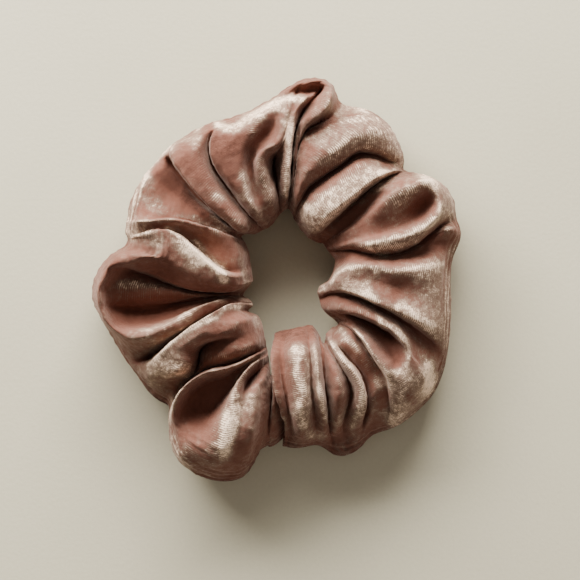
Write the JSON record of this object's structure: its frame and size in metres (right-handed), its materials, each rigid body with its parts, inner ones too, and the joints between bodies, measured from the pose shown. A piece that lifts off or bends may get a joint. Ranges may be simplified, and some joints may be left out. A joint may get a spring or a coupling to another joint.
{
  "type": "scrunchie",
  "caption": "Gathered velvet hair tie: a crushed-pile velvet tube drawn up over a short loop of flat elastic into a soft ruffled ring, with a lapped closing seam.",
  "frame": {"origin": "middle of the footprint, on the surface the scrunchie lies on", "axes": "+Z up through the hole, +Y across the ring away from the closing seam and along its longest extent, +X to the right seen from above with +Y up"},
  "size_m": [0.1062, 0.116, 0.027],
  "materials": {
    "velvet": "crushed pile velvet, dusty rose with silvery crush marks",
    "elastic": "braided flat elastic, off-white",
    "thread": "spun polyester thread, rose"
  },
  "bodies": {
    "closing_half": {"sleeve_mouth_side": "velvet", "sleeve_tail_side": "velvet", "elastic_inner_end": "elastic", "elastic_outer_end": "elastic", "elastic_lap_thread": "thread", "long_seam_thread_mouth_side": "thread", "long_seam_thread_tail_side": "thread", "closing_seam_thread": "thread"},
    "far_half": {"sleeve_far_side": "velvet", "elastic_far_side": "elastic", "long_seam_thread_far_side": "thread"}
  },
  "joints": [
    {"name": "stretch", "type": "slide", "parent": "closing_half", "child": "far_half", "axis": [0, 1, 0], "range_m": [0, 0.07], "stiffness_N_per_m": 60}
  ]
}
